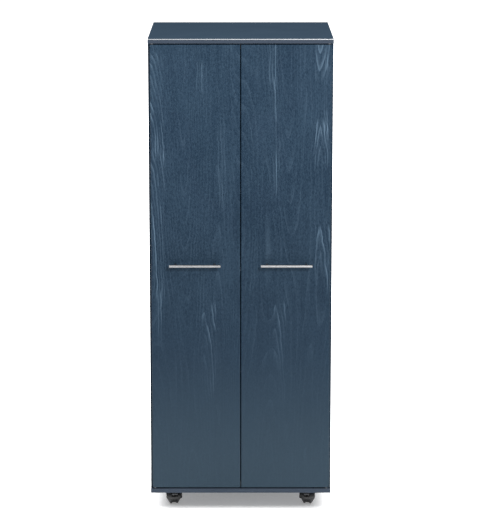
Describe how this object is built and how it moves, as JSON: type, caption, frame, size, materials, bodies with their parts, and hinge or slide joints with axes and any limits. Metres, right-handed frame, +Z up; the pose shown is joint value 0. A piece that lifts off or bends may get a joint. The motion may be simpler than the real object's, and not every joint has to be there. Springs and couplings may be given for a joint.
{
  "type": "mobile two-door cabinet",
  "caption": "Tall narrow cabinet with two full-height pivot-hinged doors, horizontal bar handles, inner shelves and twin-wheel swivel casters.",
  "frame": {"origin": "on the floor, under the centre of the overall box (casters' lowest line)", "axes": "+Z up; -Y is the front with the doors and handles; +X is to the right of a person facing the doors"},
  "size_m": [0.6, 0.582, 1.58],
  "materials": {
    "stained_ash": "open-pored ash stained slate blue under a satin lacquer",
    "stained_edge": "board with edges and faces stained slate blue, satin lacquer",
    "top_plate": "plain blue-grey laminate with a polished front edge",
    "inner_board": "smooth slate-blue board, satin",
    "back_board": "thin fibreboard with a matt slate-blue face",
    "handle_metal": "satin nickel, brushed along the bar",
    "zinc_steel": "bright zinc plate",
    "die_cast_zinc": "rough die-cast zinc",
    "beech": "plain fluted beech",
    "clear_bumper": "soft translucent bumper",
    "black_nylon": "moulded black nylon",
    "caster_tread": "black nylon wheel with a smooth tread",
    "grey_pedal": "moulded dark grey plastic"
  },
  "bodies": {
    "carcass": {"side_panel_left": "stained_ash", "side_panel_right": "stained_ash", "bottom_board": "stained_edge", "top_board": "stained_edge", "top_plate": "top_plate", "back_panel": "back_board", "fixed_shelf": "inner_board", "shelf_lower": "inner_board", "shelf_middle": "inner_board", "shelf_upper": "inner_board", "shelf_pegs": "zinc_steel", "cam_locks": "die_cast_zinc", "cam_bolts": "zinc_steel", "dowels": "beech", "base_screws": "zinc_steel", "back_screws": "zinc_steel", "small_screws": "zinc_steel", "magnetic_catches": "black_nylon", "catch_magnets": "zinc_steel", "shelf_bumpers": "clear_bumper", "caster_screws": "zinc_steel", "pivot_plate_bottom_left": "zinc_steel", "pivot_plate_bottom_right": "zinc_steel", "pivot_plate_top_left": "zinc_steel", "pivot_plate_top_right": "zinc_steel", "caster_front_left_plate": "zinc_steel", "caster_front_right_plate": "zinc_steel", "caster_rear_left_plate": "zinc_steel", "caster_rear_right_plate": "zinc_steel"},
    "left_door": {"door_left_panel": "stained_ash", "door_left_pivot_bushes": "black_nylon", "door_left_handle_bar": "handle_metal", "door_left_handle_posts": "handle_metal", "door_left_handle_screws": "zinc_steel", "door_left_strike_plates": "zinc_steel"},
    "right_door": {"door_right_panel": "stained_ash", "door_right_pivot_bushes": "black_nylon", "door_right_handle_bar": "handle_metal", "door_right_handle_posts": "handle_metal", "door_right_handle_screws": "zinc_steel", "door_right_strike_plates": "zinc_steel"},
    "front_left_swivel": {"caster_front_left_body": "black_nylon", "caster_front_left_axle": "zinc_steel"},
    "front_left_outer_wheel": {"caster_front_left_outer_wheel": "caster_tread"},
    "front_left_inner_wheel": {"caster_front_left_inner_wheel": "caster_tread"},
    "front_right_swivel": {"caster_front_right_body": "black_nylon", "caster_front_right_axle": "zinc_steel"},
    "front_right_outer_wheel": {"caster_front_right_outer_wheel": "caster_tread"},
    "front_right_inner_wheel": {"caster_front_right_inner_wheel": "caster_tread"},
    "rear_left_swivel": {"caster_rear_left_body": "black_nylon", "caster_rear_left_axle": "zinc_steel"},
    "rear_left_outer_wheel": {"caster_rear_left_outer_wheel": "caster_tread"},
    "rear_left_inner_wheel": {"caster_rear_left_inner_wheel": "caster_tread"},
    "rear_right_swivel": {"caster_rear_right_body": "black_nylon", "caster_rear_right_axle": "zinc_steel"},
    "rear_right_outer_wheel": {"caster_rear_right_outer_wheel": "caster_tread"},
    "rear_right_inner_wheel": {"caster_rear_right_inner_wheel": "caster_tread"},
    "front_left_brake_pedal": {"caster_front_left_brake": "grey_pedal"},
    "front_right_brake_pedal": {"caster_front_right_brake": "grey_pedal"}
  },
  "joints": [
    {"name": "left_door_hinge", "type": "hinge", "parent": "carcass", "child": "left_door", "pos_m": [-0.286, -0.248, 0.82], "axis": [0, 0, -1], "range_deg": [0, 110]},
    {"name": "right_door_hinge", "type": "hinge", "parent": "carcass", "child": "right_door", "pos_m": [0.286, -0.248, 0.82], "axis": [0, 0, 1], "range_deg": [0, 110]},
    {"name": "front_left_caster_swivel", "type": "hinge", "parent": "carcass", "child": "front_left_swivel", "pos_m": [-0.23, -0.159, 0.045], "axis": [0, 0, 1], "continuous": true},
    {"name": "front_left_outer_wheel_spin", "type": "hinge", "parent": "front_left_swivel", "child": "front_left_outer_wheel", "pos_m": [-0.22653, -0.1787, 0.025], "axis": [0.9848, 0.1736, 0], "continuous": true},
    {"name": "front_left_inner_wheel_spin", "type": "hinge", "parent": "front_left_swivel", "child": "front_left_inner_wheel", "pos_m": [-0.22653, -0.1787, 0.025], "axis": [0.9848, 0.1736, 0], "continuous": true},
    {"name": "front_left_brake_press", "type": "hinge", "parent": "front_left_swivel", "child": "front_left_brake_pedal", "pos_m": [-0.224, -0.19303, 0.03721], "axis": [0.9848, 0.1736, 0], "range_deg": [0, 18]},
    {"name": "front_right_caster_swivel", "type": "hinge", "parent": "carcass", "child": "front_right_swivel", "pos_m": [0.23, -0.159, 0.045], "axis": [0, 0, 1], "continuous": true},
    {"name": "front_right_outer_wheel_spin", "type": "hinge", "parent": "front_right_swivel", "child": "front_right_outer_wheel", "pos_m": [0.22653, -0.1787, 0.025], "axis": [0.9848, -0.1736, 0], "continuous": true},
    {"name": "front_right_inner_wheel_spin", "type": "hinge", "parent": "front_right_swivel", "child": "front_right_inner_wheel", "pos_m": [0.22653, -0.1787, 0.025], "axis": [0.9848, -0.1736, 0], "continuous": true},
    {"name": "front_right_brake_press", "type": "hinge", "parent": "front_right_swivel", "child": "front_right_brake_pedal", "pos_m": [0.224, -0.19303, 0.03721], "axis": [0.9848, -0.1736, 0], "range_deg": [0, 18]},
    {"name": "rear_left_caster_swivel", "type": "hinge", "parent": "carcass", "child": "rear_left_swivel", "pos_m": [-0.23, 0.231, 0.045], "axis": [0, 0, 1], "continuous": true},
    {"name": "rear_left_outer_wheel_spin", "type": "hinge", "parent": "rear_left_swivel", "child": "rear_left_outer_wheel", "pos_m": [-0.22653, 0.2113, 0.025], "axis": [0.9848, 0.1736, 0], "continuous": true},
    {"name": "rear_left_inner_wheel_spin", "type": "hinge", "parent": "rear_left_swivel", "child": "rear_left_inner_wheel", "pos_m": [-0.22653, 0.2113, 0.025], "axis": [0.9848, 0.1736, 0], "continuous": true},
    {"name": "rear_right_caster_swivel", "type": "hinge", "parent": "carcass", "child": "rear_right_swivel", "pos_m": [0.23, 0.231, 0.045], "axis": [0, 0, 1], "continuous": true},
    {"name": "rear_right_outer_wheel_spin", "type": "hinge", "parent": "rear_right_swivel", "child": "rear_right_outer_wheel", "pos_m": [0.22653, 0.2113, 0.025], "axis": [0.9848, -0.1736, 0], "continuous": true},
    {"name": "rear_right_inner_wheel_spin", "type": "hinge", "parent": "rear_right_swivel", "child": "rear_right_inner_wheel", "pos_m": [0.22653, 0.2113, 0.025], "axis": [0.9848, -0.1736, 0], "continuous": true}
  ]
}
